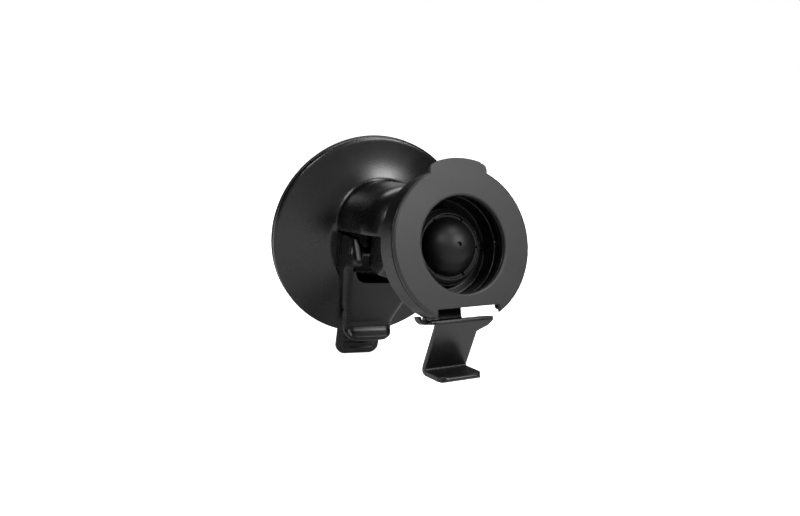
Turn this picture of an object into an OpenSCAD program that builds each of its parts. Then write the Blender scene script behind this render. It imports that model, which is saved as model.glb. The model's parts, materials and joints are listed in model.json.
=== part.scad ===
// Windscreen suction mount with a ball arm and a round snap-in bracket for a portable navigator.
// Millimetres. Origin: centre of the suction face. +Y points into the glass, -Y to the driver, +Z up.

/* [Suction cup] */
// Radius of the rim of the cup
rim_r = 35.4; // [33:0.2:38]
// Height of the front edge of the rim above the glass
rim_h = 4.7; // [4.2:0.1:5.4]
// Thickness of the soft pad at its edge
pad_t = 1.9; // [1.4:0.1:2.1]
// Half width of the pull tab of the pad
tab_half_w = 8.2; // [7:0.1:10]
// Distance of the end of the pull tab from the centre of the cup
tab_reach = 44.8; // [42:0.1:48]
// Height of the flat cam deck above the glass
deck_h = 10.4; // [10:0.1:10.8]
// Stroke of the post between locked and open
post_stroke = 2.2; // [1.5:0.1:2.2]

/* [Arm] */
// Outer radius of the hooded barrel
barrel_r = 16; // [15:0.2:16.4]
// Upward tilt of the barrel
arm_pitch = 8.1; // [6:0.1:10]
// Wall thickness of the barrel and cone
wall = 2; // [1.6:0.1:2.4]
// Distance of the ball's centre in front of the glass
ball_dist = 58.8; // [58:0.1:61]
// Height of the ball's centre above the cup's axis
ball_up = 12.4; // [12:0.1:13]
// Radius of the ball
ball_r = 8.5; // [8.5:0.1:8.6]
// Upward tilt of the ball's stud
stud_tilt = 22; // [20:0.5:24]

/* [Lever] */
// Distance of the lever pin in front of the glass
pin_dist = 22; // [21.5:0.1:22.5]
// Half width of the lever at its cheeks
lever_half_w = 14.4; // [13.6:0.1:14.6]
// Thickness of each cheek
cheek_t = 2.5; // [2.2:0.1:2.6]
// Radius of the lever pin
pin_r = 1.5; // [1.2:0.1:1.6]

/* [Bracket] */
// Sideways turn of the bracket at rest
bracket_pan = 4.5; // [0:0.5:8]
// Upward tilt of the bracket at rest
bracket_tilt = 21; // [18:0.5:24]
// Roll of the bracket at rest
bracket_roll = 2; // [0:0.5:4]
// Radius of the front disc
disc_r = 21.6; // [21:0.1:22.4]
// Radius of the round window in the disc
window_r = 13.4; // [13:0.1:13.6]
// Distance of the front face in front of the ball's centre
face_z = 10.3; // [10.1:0.1:10.6]
// Thickness of the front disc
face_t = 1.2; // [1:0.1:1.3]
// Half width of the top tab
hook_half_w = 9.1; // [8:0.1:9.4]
// Radius that the top tab reaches
hook_r = 23.7; // [23.2:0.1:24.4]
// Half width of the bottom notch
notch_half_w = 9.9; // [9:0.1:10.2]
// Height of the notch's upper edge below the centre
notch_y = -17; // [-17.4:0.1:-16.8]
// Reach of the wider cut in the skirt, to the right of the notch
skirt_cut_right = 12.8; // [11:0.1:13.4]

/* [Latch] */
// Half width of the crossbar
bar_half_w = 11.5; // [11:0.1:12]
// Half width of the release leg and its foot
leg_half_w = 7; // [6:0.1:7.4]
// Thickness of the leg
leg_t = 1.6; // [1.2:0.1:1.7]

/* [Hidden] */
$fn = 96;
far = 60;

black = [0.09, 0.09, 0.095];
dark = [0.14, 0.14, 0.15];
steel = [0.72, 0.73, 0.75];
acetal = [0.88, 0.88, 0.85];

// barrel axis: starts in the cone and rises by arm_pitch
arm_z = 14;
arm_up = 6;
barrel_len = 30;
barrel_foot = -6;

carrier_r = 13;
carrier_t = 1.6;
carrier_z = 3.8;
post_r = 4;
post_top = 26;
bore_play = 0.08;

plate_t = 0.6;

clip_r = 2.9;
clip_t = 0.7;

liner_in = ball_r + 0.08;
liner_out = 9.5;
liner_front = 2;
liner_back = -4.5;
cup_in = 9.8;
cup_out = 11.6;
cup_back = -8;
shoulder_z = -1.2;
cup_front = 1.2;
ring_seat_z = 0.9;
ring_out = 10.6;
ring_z = 0.95;
ring_front = 2.8;
grip_z = -5.6;
grip_h = 1.4;

skirt_back = 3.8;
skirt_front = face_z - face_t;
skirt_wall = 1.6;
drum_r = 15.6;
drum_back = -3;
sleeve_back = 7;
screw_ring_r = 18;
screw_r = 0.8;
screw_angles = [35, 145, 215, 325];

// pivot of the latch, as (height, front) in the bracket's own frame
latch_y = -16.9;
latch_z = -3.4;
latch_pin_r = 1;
coil_half_w = 1.5;
knuckle_out = 2.7;
ear_in = 2.9;
ear_out = 4.1;
knuckle_r = 1.9;
bar_top = -20.2;
bar_bottom = -21.2;
bar_front = 4.5;
bar_back = -0.5;
// middle line of the leg and its foot, as (front, height)
leg_line = [[3.75, -21], [-5.3, -33.6], [-5.5, -34.4], [-4.9, -35], [3.4, -36.5]];

// ---- frames: each turns local Z into the working axis, local Y is up and local X is right ----

module cup_frame() { rotate([90, 0, 0]) children(); }
module arm_frame() { cup_frame() translate([0, arm_up, arm_z]) rotate([-arm_pitch, 0, 0]) children(); }
module stud_frame() { cup_frame() translate([0, ball_up, ball_dist]) rotate([-stud_tilt, 0, 0]) children(); }
module bracket_frame() {
    translate([0, -ball_dist, ball_up])
        rotate([0, 0, bracket_pan])
            rotate([-bracket_tilt, 0, 0])
                rotate([90, 0, 0])
                    rotate([0, 0, bracket_roll])
                        children();
}

// ---- shared shapes ----

module tube(outer, inner, low, high) {
    translate([0, 0, low])
        difference() {
            cylinder(r = outer, h = high - low);
            translate([0, 0, -1]) cylinder(r = inner, h = high - low + 2);
        }
}

// a shape drawn as (depth, height) and spread evenly to both sides of X = 0
module across(half_w) {
    rotate([0, -90, 0]) translate([0, 0, -half_w]) linear_extrude(2 * half_w) children();
}

// flat bar from point a to point b in the (depth, height) plane, with round ends
module round_bar(a, b, t) {
    d = b - a;
    translate(a) rotate(atan2(d[1], d[0])) translate([0, -t / 2]) square([norm(d), t]);
    translate(a) circle(d = t, $fn = 32);
    translate(b) circle(d = t, $fn = 32);
}

// what is taken from a corner at the origin, right of and below the shape, to round it
module corner_cut(r, h) {
    translate([-r, 0, 0])
        difference() {
            translate([0, -1, 0]) cube([r + 1, r + 1, h]);
            translate([0, r, -1]) cylinder(r = r, h = h + 2);
        }
}

// both mirror images of a shape
module both_sides() {
    children();
    mirror([1, 0, 0]) children();
}

// round wire swept along a list of points, where winding is the axis of its coil
function unit(v) = v / norm(v);
function ring_at(pts, i, r, winding, sides) =
    let (n = len(pts),
         t = unit(pts[min(i + 1, n - 1)] - pts[max(i - 1, 0)]),
         u = unit(cross(t, winding)),
         v = cross(u, t))
    [for (k = [0 : sides - 1]) pts[i] + r * (cos(360 * k / sides) * u + sin(360 * k / sides) * v)];

module wire(pts, r, winding, sides = 8) {
    n = len(pts);
    points = [for (i = [0 : n - 1]) each ring_at(pts, i, r, winding, sides)];
    walls = [for (i = [0 : n - 2], k = [0 : sides - 1])
        [i * sides + k, i * sides + (k + 1) % sides,
         (i + 1) * sides + (k + 1) % sides, (i + 1) * sides + k]];
    first = [for (k = [sides - 1 : -1 : 0]) k];
    last = [for (k = [0 : sides - 1]) (n - 1) * sides + k];
    polyhedron(points, concat([first], walls, [last]), convexity = 10);
}

// ---- suction cup ----

module suction_pad() {
    rib_count = 4;
    rib_gap = 1.9;
    rib_inset = 2.4;
    corner = 3.4;
    color(dark) cup_frame() {
        rotate_extrude(convexity = 4)
            polygon([[0, 0], [rim_r - 0.5, 0], [rim_r, 0.5], [rim_r, pad_t - 0.3],
                     [rim_r - 0.3, pad_t], [carrier_r + 2, pad_t], [carrier_r, carrier_z], [0, carrier_z]]);
        difference() {
            translate([-tab_half_w, -tab_reach, 0.25]) cube([2 * tab_half_w, tab_reach - 30, pad_t]);
            both_sides() translate([tab_half_w, -tab_reach, -1]) corner_cut(corner, pad_t + 2);
        }
        for (i = [0 : rib_count - 1])
            translate([-tab_half_w + rib_inset, -tab_reach + 1.6 + rib_gap * i, pad_t])
                cube([2 * (tab_half_w - rib_inset), 0.8, 0.7]);
    }
}

module pad_carrier() {
    color(dark) cup_frame()
        difference() {
            union() {
                translate([0, 0, carrier_z]) cylinder(r = carrier_r, h = carrier_t);
                translate([0, 0, carrier_z]) cylinder(r = post_r, h = post_top - carrier_z);
            }
            translate([-10, 0, pin_dist]) rotate([0, 90, 0]) cylinder(r = pin_r, h = 20);
            both_sides() translate([post_r - 0.8, -5, pin_dist - 3]) cube([5, 10, 10]);
        }
}

module return_spring() {
    wire_r = 0.4;
    turns = 3;
    steps = 24;
    low = carrier_z + carrier_t + wire_r + 0.05;
    high = deck_h - wall - wire_r - 0.05;
    pts = [for (i = [0 : turns * steps])
        let (f = i / (turns * steps), a = 360 * i / steps, r = 9.5 - 3.4 * f)
        [r * cos(a), r * sin(a), low + (high - low) * f]];
    color(steel) cup_frame() wire(pts, wire_r, [0, 0, 1]);
}

// outer line of the cone from the rim to the cam deck, as (radius, height): it steepens towards the deck
cone_steps = 10;
cone_step = 1.62;
cone_line = concat([[rim_r, rim_h - 0.5], [rim_r - 0.25, rim_h - 0.1]],
                   [for (i = [0 : cone_steps])
                       let (t = cone_step * i)
                       [rim_r - 0.9 - t, rim_h + 0.185 * t + 0.00061 * t ^ 3]],
                   [[rim_r - 17.2, deck_h]]);

module cone_body() {
    rotate_extrude(convexity = 4)
        polygon(concat([[rim_r, pad_t + 0.35]], cone_line,
                       [[0, deck_h], [0, deck_h - wall], [16.6, deck_h - wall], [22, 5.6],
                        [29, 3.9], [rim_r - 2.2, 3.1], [rim_r - 2.2, pad_t + 0.35]]));
}

// barrel with a flared foot and a rounded nose
module barrel_body() {
    fillet_r = 5;
    nose_r = 12;
    foot = [for (a = [0 : 10 : 80])
        [barrel_r + fillet_r * (1 - cos(a)), fillet_r * (1 - sin(a)) - 3.6 - fillet_r]];
    nose = [for (a = [0 : 10 : 90])
        [barrel_r - nose_r * (1 - cos(a)), barrel_len - nose_r + nose_r * sin(a)]];
    rotate_extrude(convexity = 4)
        polygon(concat([[0, barrel_foot - 4]], [for (i = [8 : -1 : 0]) foot[i]], nose, [[0, barrel_len]]));
}

module base_shell() {
    hood_cut_pitch = 3;
    hood_edge = -1.2;
    hub_half_w = 9.8;
    hub_z = 26.6;
    hub_bottom = -3.8;
    nose_t = 13;
    color(black) difference() {
        union() {
            cup_frame() cone_body();
            intersection() {
                arm_frame() barrel_body();
                cup_frame() translate([-far, -far, deck_h - wall]) cube([2 * far, 2 * far, far]);
            }
        }
        // hollow under the hood, in front of the cam deck
        intersection() {
            arm_frame() translate([0, 0, -30]) cylinder(r = barrel_r - wall, h = 30 + barrel_len - nose_t);
            cup_frame() translate([-far, -far, deck_h]) cube([2 * far, 2 * far, far]);
            union() {
                cup_frame() translate([-far, -far, deck_h]) cube([2 * far, 2 * far, hub_z - deck_h]);
                cup_frame() both_sides() translate([hub_half_w, -far, deck_h]) cube([far, 2 * far, far]);
            }
        }
        // everything below the hood's lower edge is open, apart from the hub
        difference() {
            arm_frame() rotate([-hood_cut_pitch, 0, 0])
                translate([-far, hood_edge - far, -far / 2]) cube([2 * far, far, 2 * far]);
            cup_frame() translate([-hub_half_w, hub_bottom, hub_z]) cube([2 * hub_half_w, far, far]);
            cup_frame() cylinder(r = far, h = deck_h);
        }
        cup_frame() cylinder(r = post_r + bore_play, h = far / 2 - 3);
        stud_frame() translate([0, 0, -26]) cylinder(r = 4.5, h = 20);
        stud_frame() translate([0, 0, -60]) cylinder(r = 1.6, h = 40);
    }
}

module cam_plate() {
    half_w = 14.6;
    color(dark) cup_frame()
        difference() {
            intersection() {
                translate([-half_w, -10, deck_h]) cube([2 * half_w, 13, plate_t]);
                cylinder(r = 16.8, h = far);
            }
            translate([0, 0, deck_h - 1]) cylinder(r = post_r + 0.5, h = 4);
        }
}

// ---- lever ----

// side view of the lever as (distance from the glass, height)
lever_side = [[12.4, 3], [13.4, 3.5], [21.4, 4.7], [22.6, 4.4], [27.6, -1.4], [27.8, -2.6], [26.6, -3.6],
              [22.2, -5.2], [20.4, -6.2], [19.6, -7.4], [10.9, -29], [10.9, -30.4], [11.6, -31.8],
              [13.4, -33.6], [13.2, -35], [12, -35.7], [10.6, -35.4], [7.2, -31], [8.1, -24],
              [10.1, -17.5], [12, -12], [11.5, 0]];

// hollow of the lever, a wall's thickness behind its front face
lever_hollow = [[0, 12], [40, 12], [40, -6], [17.8, -7.6], [9.4, -28.4], [0, -31]];

// front view of the lever, drawn down its right side and back up its left
module lever_outline(inset) {
    corner = 4.4;
    foot_w = 9 - inset;
    right = concat([[lever_half_w - inset, 8], [lever_half_w - inset, -8], [11.6 - inset, -21],
                    [foot_w + 0.9, -27]],
                   [for (a = [0 : -15 : -90])
                       [foot_w - corner + corner * cos(a), -36 + corner + corner * sin(a)]]);
    left = [for (i = [len(right) - 1 : -1 : 0]) [-right[i][0], right[i][1]]];
    polygon(concat(right, left));
}

module lever() {
    cut_w = 10.5;
    cut_y = -7.1;
    cut_depth = 5.1;
    color(black) cup_frame()
        difference() {
            intersection() {
                across(20) polygon(lever_side);
                translate([0, 0, -1]) linear_extrude(40) lever_outline(0);
            }
            intersection() {
                across(20) polygon(lever_hollow);
                translate([0, 0, -1]) linear_extrude(60) lever_outline(cheek_t);
            }
            // rounded cut-out around the hub
            translate([0, 0, 14]) linear_extrude(30) {
                translate([-cut_w, cut_y]) square([2 * cut_w, 20]);
                translate([-cut_w + cut_depth, cut_y - cut_depth]) square([2 * (cut_w - cut_depth), 20]);
                both_sides() translate([cut_w - cut_depth, cut_y]) circle(r = cut_depth);
            }
            translate([-20, 0, pin_dist]) rotate([0, 90, 0]) cylinder(r = pin_r + 0.05, h = 40);
        }
}

module lever_pin() {
    half_len = lever_half_w - 0.7;
    color(steel) cup_frame() translate([-half_len, 0, pin_dist]) rotate([0, 90, 0])
        cylinder(r = pin_r, h = 2 * half_len);
}

module pin_clips() {
    inner = lever_half_w - cheek_t - 0.15 - clip_t;
    color(steel) cup_frame() both_sides()
        translate([inner, 0, pin_dist]) rotate([0, 90, 0])
            difference() {
                cylinder(r = clip_r, h = clip_t);
                translate([0, 0, -1]) cylinder(r = pin_r, h = clip_t + 2);
                translate([-0.6, 0, -1]) cube([1.2, 5, clip_t + 2]);
            }
}

// ---- ball joint ----

module ball_stud() {
    neck_r = 3.8;
    dimple_r = 0.75;
    color(black) stud_frame()
        difference() {
            union() {
                sphere(r = ball_r);
                translate([0, 0, -19]) cylinder(r = neck_r, h = 18);
                translate([0, 0, -25.9]) cylinder(r = 4.5, h = 9);
            }
            translate([0, 0, ball_r - 0.7]) cylinder(r = dimple_r, h = 2);
            translate([0, 0, -26]) cylinder(r = 1.25, h = 14);
        }
}

module stud_screw() {
    color(steel) stud_frame()
        difference() {
            union() {
                translate([0, 0, -33]) cylinder(r = 1.25, h = 20);
                translate([0, 0, -33.4]) cylinder(r = 1.55, h = 3);
            }
            for (a = [0, 90]) rotate(a) translate([-0.25, -1, -34]) cube([0.5, 2, 1.6]);
        }
}

module friction_liner() {
    slit_w = 0.5;
    color(acetal) stud_frame()
        difference() {
            intersection() {
                sphere(r = liner_out);
                translate([0, 0, liner_back]) cylinder(r = 20, h = liner_front - liner_back);
            }
            sphere(r = liner_in);
            for (a = [0 : 60 : 300])
                rotate(a) translate([0, -slit_w / 2, -1]) cube([20, slit_w, 6]);
        }
}

// tapered front of the socket, inside a sphere that clears the liner at every angle
module socket_ring() {
    flat = 0.3;
    lip = 0.2;
    color(black) bracket_frame()
        difference() {
            union() {
                translate([0, 0, ring_z]) cylinder(r = ring_out, h = flat);
                translate([0, 0, ring_z + flat])
                    cylinder(r1 = ring_out, r2 = liner_out - lip, h = ring_front - ring_z - flat);
            }
            sphere(r = liner_out + 0.1);
        }
}

module socket_cup() {
    mouth_in = 7.6;
    mouth_out = 9.8;
    mouth_top = 3.7;
    lip = 0.4;
    slot_w = 1;
    color(black) bracket_frame()
        difference() {
            union() {
                translate([0, 0, cup_back]) cylinder(r = cup_out, h = shoulder_z - cup_back);
                translate([0, 0, shoulder_z])
                    cylinder(r1 = cup_out, r2 = ring_out + lip, h = cup_front - shoulder_z);
            }
            sphere(r = cup_in);
            cylinder(r = cup_in, h = cup_front + 1);
            translate([0, 0, ring_seat_z]) cylinder(r = ring_out + 0.1, h = cup_front);
            // flared mouth that lets the neck of the ball swing
            translate([0, 0, cup_back]) cylinder(r1 = mouth_out, r2 = mouth_in, h = mouth_top);
            translate([0, 0, cup_back - 1]) cylinder(r = mouth_out, h = 1.01);
            tube(cup_out + 1, cup_out - 0.5, grip_z, grip_z + grip_h);
            for (a = [45 : 90 : 315])
                rotate(a) translate([5, -slot_w / 2, cup_back - 1]) cube([10, slot_w, 4.6]);
        }
}

module grip_ring() {
    color(steel) bracket_frame()
        difference() {
            tube(cup_out + 0.5, cup_out - 0.5, grip_z + 0.1, grip_z + grip_h - 0.1);
            rotate(90) translate([8, -1.5, grip_z - 1]) cube([8, 3, 4]);
        }
}

// ---- bracket ----

module notch_cut() {
    translate([-notch_half_w, -far + notch_y, -20]) cube([2 * notch_half_w, far, 40]);
}

module face_plate() {
    corner = 1.8;
    corner_y = 20.4;
    step = 0.35;
    boss_r = 2;
    boss_back = 5.6;
    color(dark) bracket_frame() {
        difference() {
            union() {
                translate([0, 0, skirt_front]) cylinder(r = disc_r - step, h = face_t);
                translate([0, 0, skirt_front]) cylinder(r = disc_r, h = face_t - step);
                // top tab
                intersection() {
                    translate([0, 0, skirt_front]) cylinder(r = hook_r, h = face_t);
                    union() {
                        translate([-hook_half_w, 10, 0]) cube([2 * hook_half_w, corner_y - 10, far]);
                        translate([-hook_half_w + corner, 10, 0]) cube([2 * (hook_half_w - corner), 15, far]);
                        both_sides() translate([hook_half_w - corner, corner_y, 0])
                            cylinder(r = corner, h = far);
                    }
                }
            }
            cylinder(r = window_r, h = far);
            translate([0, 0, face_z - 0.3]) cylinder(r1 = window_r, r2 = window_r + 0.4, h = 0.4);
            notch_cut();
        }
        for (a = screw_angles)
            rotate(a) translate([screw_ring_r, 0, 0]) tube(boss_r, screw_r, boss_back, skirt_front + 0.1);
    }
}

module rear_housing() {
    groove = 0.3;
    bowl_r = drum_r - 1.5;
    floor_z = drum_back + 1.5;
    ear_top = -13;
    ear_low = latch_y - 1.7;
    ear_back = latch_z - 2.1;
    ear_t = 3.3;
    lug = [1.7, 2.4, 1.9];
    post_back = skirt_back - 1.5;
    post_t = 3.2;
    end_r = 1;
    end_back = 7.4;
    end_at = [notch_half_w + 1.1, -17.5];
    color(black) bracket_frame() {
        difference() {
            union() {
                tube(disc_r, disc_r - skirt_wall, skirt_back, skirt_front - groove);
                tube(disc_r - 0.9, disc_r - skirt_wall, skirt_back, skirt_front);
                tube(disc_r, bowl_r, post_back, skirt_back);
                tube(drum_r, bowl_r, drum_back, skirt_back);
                tube(drum_r, cup_out, drum_back, floor_z);
                // sleeve behind the window
                tube(window_r + 1.4, window_r, sleeve_back, skirt_front);
                // ribs from the sleeve to the skirt
                for (a = [0, 90, 180])
                    rotate(a) translate([window_r + 1, -0.7, skirt_back - 1])
                        cube([disc_r - window_r - 2, 1.4, skirt_front - skirt_back + 1]);
                // lug beside the socket
                translate([cup_out + 0.05, -lug[1] / 2, floor_z - 0.5]) cube(lug);
                // screw posts
                for (a = screw_angles)
                    rotate(a) translate([screw_ring_r, 0, post_back]) cylinder(r = 2.3, h = post_t);
                // ears that carry the latch pin
                both_sides() translate([ear_in, ear_low, ear_back])
                    cube([ear_out - ear_in, ear_top - ear_low, ear_t]);
            }
            difference() {
                notch_cut();
                translate([-ear_out, ear_low - 0.1, -20]) cube([2 * ear_out, 8, latch_z + 22]);
            }
            // the skirt is cut back further on the right
            translate([0, -far + notch_y, latch_z + 2]) cube([skirt_cut_right, far, far]);
            // window for the latch's knuckles and coil
            translate([-ear_in, latch_y - 6, -20]) cube([2 * ear_in, 8.5, 22]);
            translate([-20, latch_y, latch_z]) rotate([0, 90, 0]) cylinder(r = latch_pin_r, h = 40);
            for (a = screw_angles)
                rotate(a) translate([screw_ring_r, 0, 0]) {
                    // bore, head recess, and room for the plate's boss
                    translate([0, 0, post_back - 1]) cylinder(r = screw_r + 0.3, h = 10);
                    translate([0, 0, post_back - 1]) cylinder(r = 1.9, h = 1.9);
                    translate([0, 0, post_back + post_t]) cylinder(r = 2.4, h = 10);
                }
        }
        // round end of the skirt, to the right of the notch
        translate([0, 0, end_back]) linear_extrude(skirt_front - groove - end_back) {
            translate(end_at) circle(r = end_r);
            round_bar(end_at, [skirt_cut_right + 0.3, -16.1], 1.6 * end_r);
        }
    }
}

module housing_screws() {
    head_z = skirt_back - 1.4;
    color(steel) bracket_frame()
        for (a = screw_angles)
            rotate(a) translate([screw_ring_r, 0, 0])
                difference() {
                    union() {
                        translate([0, 0, head_z]) cylinder(r = 1.7, h = 0.8);
                        translate([0, 0, head_z]) cylinder(r = screw_r, h = 6);
                    }
                    for (b = [0, 90]) rotate(b) translate([-0.2, -1.1, head_z - 1]) cube([0.4, 2.2, 1.45]);
                }
}

// ---- latch ----

// front view of the leg: its right side flares into the crossbar
module leg_outline() {
    polygon([[-leg_half_w, -20.5], [bar_half_w, -20.5], [bar_half_w, -21.5], [bar_half_w - 1.1, -22.8],
             [leg_half_w, -24.3], [leg_half_w, -40], [-leg_half_w, -40]]);
}

module latch() {
    stem_front = -0.5;
    stem_t = 1.2;
    curl_r = 2.5;
    curl_t = 1;
    curl_front = 2;
    curl_x = curl_r - bar_half_w;
    step_h = 1.1;
    foot_corner = 2.6;
    toe = leg_line[len(leg_line) - 1];
    color(black) bracket_frame()
        difference() {
            union() {
                // crossbar, with its left end raised and curled up behind the skirt
                translate([curl_x, bar_bottom, bar_back])
                    cube([bar_half_w - curl_x, bar_top - bar_bottom, bar_front - bar_back]);
                translate([curl_x, bar_bottom, bar_back])
                    cube([-ear_out - 0.4 - curl_x, bar_top + step_h - bar_bottom, curl_front - bar_back]);
                translate([curl_x, bar_bottom + curl_r, bar_back])
                    linear_extrude(curl_front - bar_back)
                        intersection() {
                            difference() {
                                circle(r = curl_r);
                                circle(r = curl_r - curl_t);
                            }
                            translate([-curl_r, -curl_r]) square(curl_r);
                        }
                // stem in front of the coil, and its two knuckles
                translate([-ear_out, bar_bottom, stem_front - stem_t])
                    cube([2 * ear_out, latch_y + 0.95 - bar_bottom, stem_t]);
                translate([-ear_out, bar_bottom, stem_front - 0.1])
                    cube([2 * ear_out, bar_top - bar_bottom, 0.3]);
                both_sides() translate([coil_half_w, latch_y, latch_z]) {
                    rotate([0, 90, 0]) cylinder(r = knuckle_r, h = knuckle_out - coil_half_w);
                    translate([0, -1.5, 0]) cube([knuckle_out - coil_half_w, 2.4, 2]);
                }
                // leg, bent forward into the foot
                intersection() {
                    across(bar_half_w)
                        for (i = [1 : len(leg_line) - 1]) round_bar(leg_line[i - 1], leg_line[i], leg_t);
                    translate([0, 0, -20]) linear_extrude(40) leg_outline();
                }
            }
            translate([-20, latch_y, latch_z]) rotate([0, 90, 0]) cylinder(r = latch_pin_r + 0.06, h = 40);
            // round corners of the foot
            both_sides() translate([leg_half_w, toe[1] - 3, toe[0] + leg_t / 2])
                rotate([-90, 0, 0]) corner_cut(foot_corner, 6);
        }
}

module latch_pin() {
    color(steel) bracket_frame() translate([-ear_out + 0.2, latch_y, latch_z]) rotate([0, 90, 0])
        cylinder(r = latch_pin_r, h = 2 * ear_out - 0.4);
}

module latch_spring() {
    wire_r = 0.25;
    coil_r = 1.35;
    turns = 3;
    steps = 16;
    half_len = coil_half_w - wire_r - 0.1;
    coil = [for (i = [0 : turns * steps])
        let (a = 360 * i / steps)
        [-half_len + 2 * half_len * i / (turns * steps),
         latch_y + coil_r * sin(a), latch_z + coil_r * cos(a)]];
    first_leg = [[-half_len, latch_y - 2.7, latch_z + coil_r]];
    last_leg = [[half_len, latch_y + 2.1, latch_z + coil_r]];
    color(steel) bracket_frame() wire(concat(first_leg, coil, last_leg), wire_r, [1, 0, 0], 6);
}

suction_pad();
pad_carrier();
return_spring();
base_shell();
cam_plate();
ball_stud();
stud_screw();
lever();
lever_pin();
pin_clips();
friction_liner();
socket_ring();
socket_cup();
grip_ring();
face_plate();
rear_housing();
housing_screws();
latch();
latch_pin();
latch_spring();
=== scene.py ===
"""Looks of a windscreen suction mount for a portable navigator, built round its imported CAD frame."""

import json
import math

import bmesh
import bpy
from mathutils import Matrix, Vector
from mathutils.bvhtree import BVHTree


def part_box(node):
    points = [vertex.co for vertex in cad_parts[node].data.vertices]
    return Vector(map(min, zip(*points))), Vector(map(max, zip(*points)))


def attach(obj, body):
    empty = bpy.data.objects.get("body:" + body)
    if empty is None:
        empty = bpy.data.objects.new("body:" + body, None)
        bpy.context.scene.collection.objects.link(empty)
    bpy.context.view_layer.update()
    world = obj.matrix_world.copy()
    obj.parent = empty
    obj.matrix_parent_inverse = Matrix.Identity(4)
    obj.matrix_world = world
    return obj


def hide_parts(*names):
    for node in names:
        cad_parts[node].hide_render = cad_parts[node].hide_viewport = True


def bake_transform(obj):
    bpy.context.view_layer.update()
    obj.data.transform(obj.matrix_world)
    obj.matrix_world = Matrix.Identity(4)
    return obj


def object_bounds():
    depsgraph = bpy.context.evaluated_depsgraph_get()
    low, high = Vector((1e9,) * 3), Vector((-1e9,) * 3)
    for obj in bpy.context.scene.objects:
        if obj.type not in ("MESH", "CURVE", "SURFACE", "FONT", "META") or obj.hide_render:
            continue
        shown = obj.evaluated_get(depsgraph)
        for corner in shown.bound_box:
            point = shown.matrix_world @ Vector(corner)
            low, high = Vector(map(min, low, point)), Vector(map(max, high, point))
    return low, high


MM = 0.001
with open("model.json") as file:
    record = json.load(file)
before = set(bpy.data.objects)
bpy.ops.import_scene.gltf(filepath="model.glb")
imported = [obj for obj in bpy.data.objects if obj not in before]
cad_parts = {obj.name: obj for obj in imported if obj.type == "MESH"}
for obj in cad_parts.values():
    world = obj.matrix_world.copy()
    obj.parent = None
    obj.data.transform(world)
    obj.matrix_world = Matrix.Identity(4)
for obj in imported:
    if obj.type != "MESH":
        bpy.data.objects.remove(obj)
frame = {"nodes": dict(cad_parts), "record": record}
cad_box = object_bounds()

# ---- camera: azimuth from -Y towards +X, elevation above the floor, roll about the line of sight ----

AZIMUTH, ELEVATION, ROLL = math.radians(-24.5), math.radians(15.29), math.radians(7.62)
AIM = Vector((10.3, -6.6, -6.6)) * MM
DISTANCE = 267.2 * MM
LENS, SENSOR = 33.75, 36.0  # mm
NEAREST, FARTHEST = 0.01, 20  # what the camera sees, in m


def add_camera():
    back = Vector((math.sin(AZIMUTH) * math.cos(ELEVATION),
                   -math.cos(AZIMUTH) * math.cos(ELEVATION),
                   math.sin(ELEVATION)))
    right = Vector((math.cos(AZIMUTH), math.sin(AZIMUTH), 0))
    level = Matrix((right, back.cross(right), back)).transposed()
    data = bpy.data.cameras.new("camera")
    data.lens, data.sensor_width = LENS, SENSOR
    data.clip_start, data.clip_end = NEAREST, FARTHEST
    camera = bpy.data.objects.new("camera", data)
    camera.matrix_world = (Matrix.Translation(AIM + back * DISTANCE)
                           @ (level @ Matrix.Rotation(ROLL, 3, "Z")).to_4x4())
    bpy.context.collection.objects.link(camera)
    bpy.context.scene.camera = camera


add_camera()

# ---- studio ----

WHITE = (1, 1, 1, 1)
BACKDROP = 1.0  # brightness of the world as the camera sees it
ROOM = 0.015  # and as it lights the object
FLOOR_RADIUS, FLOOR_GAP = 3, 0.3 * MM
FLOOR_SEEN, FLOOR_CAST = 0.9, 0.8  # how pale the floor is to the camera and to the object

# name, place, width and height in m, power in W; all of them point at the middle of the object
LIGHTS = (
    ("key", (0.24, -0.46, 0.4), (0.24, 0.24), 2.8),
    ("front", (-0.1, -0.75, 0.08), (0.5, 0.5), 0.45),
    ("upper_left", (-0.33, -0.27, 0.42), (0.35, 0.08), 1.6),
    ("left", (-0.5, -0.22, 0), (0.08, 0.35), 0.16),
    ("top", (0.1, -0.05, 0.6), (0.4, 0.15), 1.8),
    ("back", (0.1, 0.45, 0.45), (0.5, 0.2), 1),
)


def area_light(name, place, size, power):
    data = bpy.data.lights.new(name, "AREA")
    data.shape, data.size, data.size_y, data.energy = "RECTANGLE", size[0], size[1], power
    light = bpy.data.objects.new(name, data)
    light.location = place
    light.rotation_mode = "QUATERNION"
    middle = (cad_box[0] + cad_box[1]) / 2
    light.rotation_quaternion = (middle - Vector(place)).to_track_quat("-Z", "Y")
    bpy.context.collection.objects.link(light)


def add_world():
    """A white backdrop as the camera sees it, and a dimmer room as the object sees it."""
    world = bpy.data.worlds.new("studio")
    world.use_nodes = True
    nodes, links = world.node_tree.nodes, world.node_tree.links
    nodes.clear()
    mix = nodes.new("ShaderNodeMixShader")
    links.new(nodes.new("ShaderNodeLightPath").outputs["Is Camera Ray"], mix.inputs[0])
    for slot, strength in ((1, ROOM), (2, BACKDROP)):
        background = nodes.new("ShaderNodeBackground")
        background.inputs["Color"].default_value = WHITE
        background.inputs["Strength"].default_value = strength
        links.new(background.outputs[0], mix.inputs[slot])
    links.new(mix.outputs[0], nodes.new("ShaderNodeOutputWorld").inputs["Surface"])
    bpy.context.scene.world = world


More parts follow.
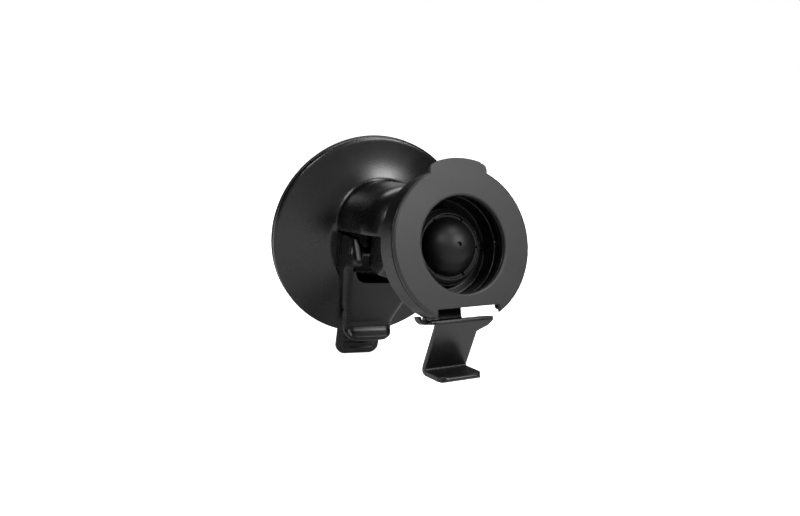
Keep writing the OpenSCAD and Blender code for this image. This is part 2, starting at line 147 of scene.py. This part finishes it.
def floor_material():
    """Glowing white to the camera, and a dull pale surface to the object."""
    material = bpy.data.materials.new("floor")
    material.use_nodes = True
    nodes, links = material.node_tree.nodes, material.node_tree.links
    nodes.clear()
    glow = nodes.new("ShaderNodeEmission")
    glow.inputs["Color"].default_value = WHITE
    lit, dull = nodes.new("ShaderNodeBsdfDiffuse"), nodes.new("ShaderNodeBsdfDiffuse")
    for shader, shade in ((lit, FLOOR_SEEN), (dull, FLOOR_CAST)):
        shader.inputs["Color"].default_value = (shade, shade, shade, 1)
    both, mix = nodes.new("ShaderNodeAddShader"), nodes.new("ShaderNodeMixShader")
    links.new(lit.outputs[0], both.inputs[0])
    links.new(glow.outputs[0], both.inputs[1])
    links.new(nodes.new("ShaderNodeLightPath").outputs["Is Camera Ray"], mix.inputs[0])
    links.new(dull.outputs[0], mix.inputs[1])
    links.new(both.outputs[0], mix.inputs[2])
    links.new(mix.outputs[0], nodes.new("ShaderNodeOutputMaterial").inputs["Surface"])
    return material


def add_floor():
    """A round floor just under the object, as white as the backdrop, so that no line shows."""
    bm = bmesh.new()
    bmesh.ops.create_circle(bm, cap_ends=True, segments=96, radius=FLOOR_RADIUS)
    mesh = bpy.data.meshes.new("floor")
    bm.to_mesh(mesh)
    bm.free()
    mesh.materials.append(floor_material())
    floor = bpy.data.objects.new("floor", mesh)
    floor.location = (0, 0, cad_box[0].z - FLOOR_GAP)
    bpy.context.collection.objects.link(floor)


add_world()
add_floor()
for light_row in LIGHTS:
    area_light(*light_row)
bpy.context.scene.view_settings.view_transform = "Standard"

# ---- materials: every size here is in mm ----

CLOUD_SIZE, CLOUD_DETAIL = 9, 4  # slow change of gloss and colour over a plastic
CLOUD_SPAN = (0.3, 0.7)
MOTTLE = 0.82  # darkest share of a plastic's colour
PATCH_SIZE, PATCH_DETAIL = 2.5, 3  # where the edges are worn and where they aren't
PATCH_SPAN, PATCH_WEAR = (0.35, 0.65), (0.2, 1)
WORN_SPAN = (0.98, 0.8)  # agreement of the softened normal with the face's own, from flat to edge
BEVEL_SAMPLES = 6
GRAIN_DETAIL = 2
STEEL_SIZE, STEEL_DETAIL, STEEL_DEPTH = 0.5, 3, 0.01
STEEL_GLOSS = (0.7, 1.4)  # lowest and highest share of a steel's roughness


def start_material(name):
    """A new material, its node tree and its surface shader."""
    material = bpy.data.materials.new(name)
    material.use_nodes = True
    return material, material.node_tree, material.node_tree.nodes["Principled BSDF"]


def noise(tree, vector, size, detail):
    node = tree.nodes.new("ShaderNodeTexNoise")
    node.inputs["Scale"].default_value = 1 / (size * MM)
    node.inputs["Detail"].default_value = detail
    tree.links.new(vector, node.inputs["Vector"])
    return node.outputs["Fac"]


def remap(tree, source, span, result):
    """Stretch the values of source from one (low, high) to another."""
    node = tree.nodes.new("ShaderNodeMapRange")
    for socket, value in zip(("From Min", "From Max", "To Min", "To Max"), (*span, *result)):
        node.inputs[socket].default_value = value
    tree.links.new(source, node.inputs["Value"])
    return node.outputs["Result"]


def tinted(tree, factor, colour, other):
    """colour where factor is 0, and other where it is 1."""
    node = tree.nodes.new("ShaderNodeMix")
    node.data_type = "RGBA"
    node.inputs["A"].default_value = (*colour, 1)
    node.inputs["B"].default_value = (*other, 1)
    tree.links.new(factor, node.inputs["Factor"])
    return node.outputs["Result"]


def worn_edges(tree, place, bevel):
    """1 where a softened normal leaves the face's own, broken up into patches."""
    dot = tree.nodes.new("ShaderNodeVectorMath")
    dot.operation = "DOT_PRODUCT"
    tree.links.new(bevel.outputs["Normal"], dot.inputs[0])
    tree.links.new(tree.nodes.new("ShaderNodeNewGeometry").outputs["Normal"], dot.inputs[1])
    patches = noise(tree, place, PATCH_SIZE, PATCH_DETAIL)
    wear = tree.nodes.new("ShaderNodeMath")
    wear.operation = "MULTIPLY"
    tree.links.new(remap(tree, dot.outputs["Value"], WORN_SPAN, (0, 1)), wear.inputs[0])
    tree.links.new(remap(tree, patches, PATCH_SPAN, PATCH_WEAR), wear.inputs[1])
    return wear.outputs[0]


def plastic(name, colour, roughness, grain, grain_size, spread=0.06, edge=0.35, edge_light=2.2,
            specular=0.5):
    """Moulded plastic or rubber: uneven gloss, a fine grain and edges worn a little lighter.
    grain is the texture's depth, grain_size its size, and edge the width of the softened edges."""
    material, tree, shader = start_material(name)
    shader.inputs["Specular IOR Level"].default_value = specular
    place = tree.nodes.new("ShaderNodeTexCoord").outputs["Object"]
    cloud = noise(tree, place, CLOUD_SIZE, CLOUD_DETAIL)
    gloss = remap(tree, cloud, CLOUD_SPAN, (roughness - spread / 2, roughness + spread / 2))
    tree.links.new(gloss, shader.inputs["Roughness"])

    bevel = tree.nodes.new("ShaderNodeBevel")
    bevel.samples = BEVEL_SAMPLES
    bevel.inputs["Radius"].default_value = edge * MM
    wear = worn_edges(tree, place, bevel)
    tint = tinted(tree, wear, colour, [min(1, c * edge_light) for c in colour])
    mottle = tree.nodes.new("ShaderNodeValToRGB")
    mottle.color_ramp.elements[0].color = (MOTTLE, MOTTLE, MOTTLE, 1)
    mottle.color_ramp.elements[1].color = WHITE
    tree.links.new(remap(tree, cloud, CLOUD_SPAN, (0, 1)), mottle.inputs["Fac"])
    shade = tree.nodes.new("ShaderNodeMix")
    shade.data_type, shade.blend_type = "RGBA", "MULTIPLY"
    shade.inputs["Factor"].default_value = 1
    tree.links.new(tint, shade.inputs["A"])
    tree.links.new(mottle.outputs["Color"], shade.inputs["B"])
    tree.links.new(shade.outputs["Result"], shader.inputs["Base Color"])

    bump = tree.nodes.new("ShaderNodeBump")
    bump.inputs["Distance"].default_value = grain * MM
    tree.links.new(noise(tree, place, grain_size, GRAIN_DETAIL), bump.inputs["Height"])
    tree.links.new(bevel.outputs["Normal"], bump.inputs["Normal"])
    tree.links.new(bump.outputs["Normal"], shader.inputs["Normal"])
    return material


def metal(name, colour, roughness, brush=(1, 1, 1), ends=None):
    """Steel: uneven gloss, with fine lines across it where brush gives their direction.
    ends = (distance, colour) gives the cut ends, further than that from X = 0, their own colour."""
    material, tree, shader = start_material(name)
    shader.inputs["Metallic"].default_value = 1
    shader.inputs["Base Color"].default_value = (*colour, 1)
    place = tree.nodes.new("ShaderNodeTexCoord").outputs["Object"]
    if ends:
        parts = tree.nodes.new("ShaderNodeSeparateXYZ")
        away, far_out = tree.nodes.new("ShaderNodeMath"), tree.nodes.new("ShaderNodeMath")
        away.operation, far_out.operation = "ABSOLUTE", "GREATER_THAN"
        far_out.inputs[1].default_value = ends[0] * MM
        tree.links.new(place, parts.inputs[0])
        tree.links.new(parts.outputs["X"], away.inputs[0])
        tree.links.new(away.outputs[0], far_out.inputs[0])
        tint = tinted(tree, far_out.outputs[0], colour, ends[1])
        tree.links.new(tint, shader.inputs["Base Color"])
    stretch = tree.nodes.new("ShaderNodeMapping")
    stretch.inputs["Scale"].default_value = brush
    tree.links.new(place, stretch.inputs["Vector"])
    lines = noise(tree, stretch.outputs["Vector"], STEEL_SIZE, STEEL_DETAIL)
    gloss = remap(tree, lines, (0, 1), [roughness * share for share in STEEL_GLOSS])
    tree.links.new(gloss, shader.inputs["Roughness"])
    bump = tree.nodes.new("ShaderNodeBump")
    bump.inputs["Distance"].default_value = STEEL_DEPTH * MM
    tree.links.new(lines, bump.inputs["Height"])
    tree.links.new(bump.outputs["Normal"], shader.inputs["Normal"])
    return material


def grey(value):
    return (value, value, value * 1.03)


PIN_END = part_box("lever_pin")[1].x / MM - 0.2
gloss_black = plastic("gloss_black", grey(0.0025), 0.28, 0.0015, 0.5, edge=0.5)
lever_black = plastic("lever_black", grey(0.002), 0.32, 0.005, 0.35, specular=0.35)
latch_black = plastic("latch_black", grey(0.006), 0.3, 0.004, 0.35)
satin_face = plastic("satin_face", grey(0.022), 0.48, 0.012, 0.25, edge=0.3, edge_light=1.8,
                     specular=0.4)
skirt_black = plastic("skirt_black", grey(0.002), 0.38, 0.008, 0.3, edge=0.3, specular=0.4)
deep_black = plastic("deep_black", grey(0.003), 0.55, 0.004, 0.4, specular=0.2)
ring_black = plastic("ring_black", grey(0.008), 0.4, 0.004, 0.3)
ball_black = plastic("ball_black", grey(0.002), 0.48, 0.003, 0.3, edge=0.15, specular=0.35)
rubber = plastic("rubber", grey(0.01), 0.5, 0.01, 0.2, spread=0.1, specular=0.4)
spring_steel = metal("spring_steel", (0.55, 0.55, 0.57), 0.25)
pin_steel = metal("pin_steel", (0.05, 0.05, 0.055), 0.3, brush=(0.1, 1, 1),
                  ends=(PIN_END, (0.85, 0.85, 0.87)))
dark_steel = metal("dark_steel", (0.06, 0.06, 0.065), 0.3)
zinc_steel = metal("zinc_steel", (0.66, 0.68, 0.7), 0.3)

FINISH = {
    "suction_pad": rubber, "pad_carrier": deep_black, "return_spring": spring_steel,
    "base_shell": gloss_black, "cam_plate": deep_black, "ball_stud": ball_black,
    "stud_screw": zinc_steel, "lever": lever_black, "lever_pin": pin_steel,
    "pin_clips": dark_steel, "friction_liner": deep_black, "socket_ring": ring_black,
    "socket_cup": deep_black, "grip_ring": spring_steel, "face_plate": satin_face,
    "rear_housing": skirt_black, "housing_screws": zinc_steel, "latch": latch_black,
    "latch_pin": dark_steel, "latch_spring": spring_steel,
}
for node_name, cad_node in frame["nodes"].items():
    cad_node.data.materials.clear()
    cad_node.data.materials.append(FINISH[node_name])

# ---- pieces with moulded, rounded edges, made from the CAD solids ----

behaviour = frame["record"]["behaviour"]
BODY = {name: body for body, names in behaviour["bodies"].items() for name in names}
SAME_POINT = 0.001 * MM  # corners nearer than this are one corner
LEVER_ROUND = 2.7 * MM  # radius of the lever's long edges
OUTSIDE = 0.1  # m from the axis, further out than any of the lever
SLACK = 1e-6


def settle(piece):
    """Put what the piece's modifiers make into its own mesh."""
    graph = bpy.context.evaluated_depsgraph_get()
    mesh = bpy.data.meshes.new_from_object(piece.evaluated_get(graph))
    piece.modifiers.clear()
    piece.data = mesh


def remesh(piece, voxel):
    modifier = piece.modifiers.new("remesh", "REMESH")
    modifier.mode, modifier.voxel_size = "VOXEL", voxel * MM
    settle(piece)


def moulded(node, name, voxel, passes, keep, shape=None):
    """A copy of a CAD piece, remeshed at voxel mm, smoothed, and thinned to the share in keep."""
    mesh = frame["nodes"][node].data.copy()
    bm = bmesh.new()
    bm.from_mesh(mesh)
    bmesh.ops.remove_doubles(bm, verts=bm.verts, dist=SAME_POINT)
    bm.to_mesh(mesh)
    bm.free()
    piece = bpy.data.objects.new(name, mesh)
    bpy.context.collection.objects.link(piece)
    remesh(piece, voxel)
    if shape:
        shape(piece.data)
        remesh(piece, voxel)
    smooth = piece.modifiers.new("smooth", "SMOOTH")
    smooth.factor, smooth.iterations = 0.5, passes
    if keep < 1:
        piece.modifiers.new("thin", "DECIMATE").ratio = keep
    settle(piece)
    piece.data.materials.clear()
    piece.data.materials.append(FINISH[node])
    piece.data.shade_smooth()
    piece.modifiers.new("weigh", "WEIGHTED_NORMAL").keep_sharp = False
    settle(piece)
    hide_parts(node)
    return piece


def round_lever(mesh):
    """Turn the edges between the lever's front and its sides into wide curves."""
    surface = BVHTree.FromPolygons([v.co.copy() for v in mesh.vertices],
                                   [p.vertices[:] for p in mesh.polygons])
    moved = []
    for vertex in mesh.vertices:
        place = vertex.co
        side = 1 if place.x > 0 else -1
        front = surface.ray_cast(Vector((place.x, -OUTSIDE, place.z)), Vector((0, 1, 0)))[0]
        edge = surface.ray_cast(Vector((side * OUTSIDE, place.y, place.z)),
                                Vector((-side, 0, 0)))[0]
        if front is None or edge is None:
            continue
        deep, inward = place.y - front.y, abs(edge.x) - abs(place.x)
        if not (0 <= deep + SLACK < LEVER_ROUND and 0 <= inward + SLACK < LEVER_ROUND):
            continue
        reach = math.hypot(LEVER_ROUND - deep, LEVER_ROUND - inward)
        if reach > LEVER_ROUND:
            pull = LEVER_ROUND / reach - 1
            moved.append((vertex.index, side * (LEVER_ROUND - inward) * pull,
                          -(LEVER_ROUND - deep) * pull))
    for index, across, along in moved:
        mesh.vertices[index].co.x += across
        mesh.vertices[index].co.y += along


pad = moulded("suction_pad", "pad_membrane", 0.25, 2, 0.25)
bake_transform(pad)

# CAD node, piece, voxel in mm, smoothing passes, share of faces kept, change of shape
RIGID = (
    ("base_shell", "base_moulding", 0.45, 8, 1),
    ("lever", "lever_moulding", 0.2, 8, 0.3, round_lever),
    ("face_plate", "front_disc", 0.16, 2, 0.2),
    ("rear_housing", "rear_skirt", 0.2, 2, 0.2),
    ("socket_cup", "socket_moulding", 0.2, 2, 0.25),
    ("socket_ring", "socket_lip", 0.12, 3, 0.25),
    ("latch", "latch_moulding", 0.16, 4, 0.25),
)
for piece_row in RIGID:
    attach(moulded(*piece_row), BODY[piece_row[0]])

# ---- springs, which stretch or turn between two bodies ----


def coil(node, name):
    """A copy of a CAD spring, shaded smooth, shown in place of the CAD node."""
    piece = bpy.data.objects.new(name, frame["nodes"][node].data.copy())
    bpy.context.collection.objects.link(piece)
    piece.data.shade_smooth()
    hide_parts(node)
    return piece


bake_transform(coil("return_spring", "pad_coil"))
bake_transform(coil("latch_spring", "latch_coil"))
